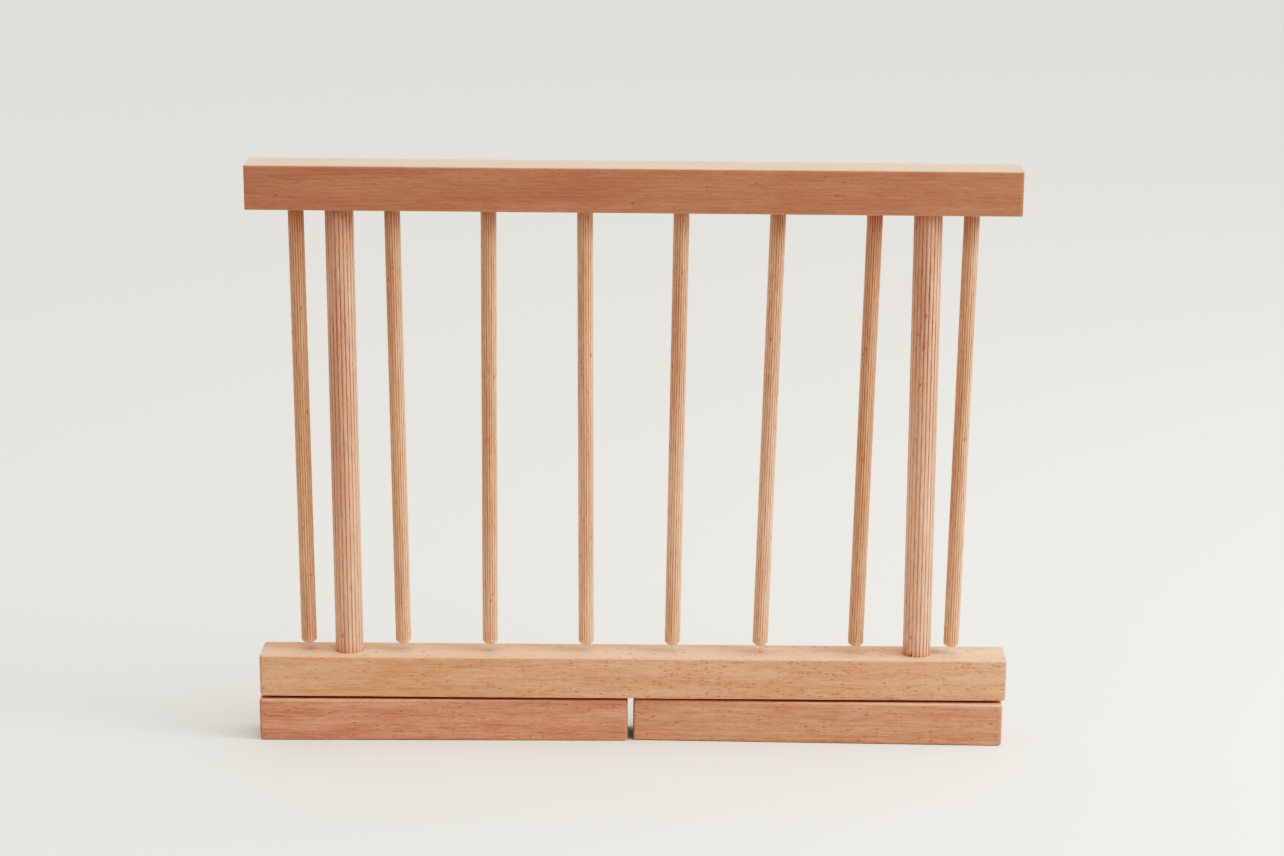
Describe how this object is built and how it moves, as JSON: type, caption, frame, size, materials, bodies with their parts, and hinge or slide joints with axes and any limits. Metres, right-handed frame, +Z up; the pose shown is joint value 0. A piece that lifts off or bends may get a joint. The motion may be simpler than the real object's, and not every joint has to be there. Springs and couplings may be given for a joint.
{
  "type": "yarn peg frame",
  "caption": "Standing wooden frame with a comb of fluted pegs hanging from its top rail between two posts, on a bottom rail with two swivelling bar feet",
  "frame": {"origin": "on the ground, under the middle of the frame", "axes": "+X along the rails to the right, -Y the front, +Z up"},
  "size_m": [0.481, 0.0338, 0.3764],
  "materials": {
    "top_rail_beech": "planed, unfinished",
    "bottom_rail_beech": "sanded, unfinished",
    "foot_beech": "sanded, unfinished",
    "rod_beech": "fluted, unfinished",
    "zinc_plate": "zinc plated"
  },
  "bodies": {
    "frame": {"top_rail": "top_rail_beech", "bottom_rail": "bottom_rail_beech", "left_post": "rod_beech", "right_post": "rod_beech", "peg_1": "rod_beech", "peg_2": "rod_beech", "peg_3": "rod_beech", "peg_4": "rod_beech", "peg_5": "rod_beech", "peg_6": "rod_beech", "peg_7": "rod_beech", "peg_8": "rod_beech", "left_pivot_screw": "zinc_plate", "left_head_washer": "zinc_plate", "left_spacer_washer": "zinc_plate", "right_pivot_screw": "zinc_plate", "right_head_washer": "zinc_plate", "right_spacer_washer": "zinc_plate"},
    "left_foot": {"left_foot": "foot_beech"},
    "right_foot": {"right_foot": "foot_beech"}
  },
  "joints": [
    {"name": "left_foot_swivel", "type": "hinge", "parent": "frame", "child": "left_foot", "pos_m": [-0.122, 0, 0.0287], "axis": [0, 0, 1], "range_deg": [-90.7, 89.3]},
    {"name": "right_foot_swivel", "type": "hinge", "parent": "frame", "child": "right_foot", "pos_m": [0.1195, 0, 0.0287], "axis": [0, 0, 1], "range_deg": [-88.6, 91.4]}
  ]
}
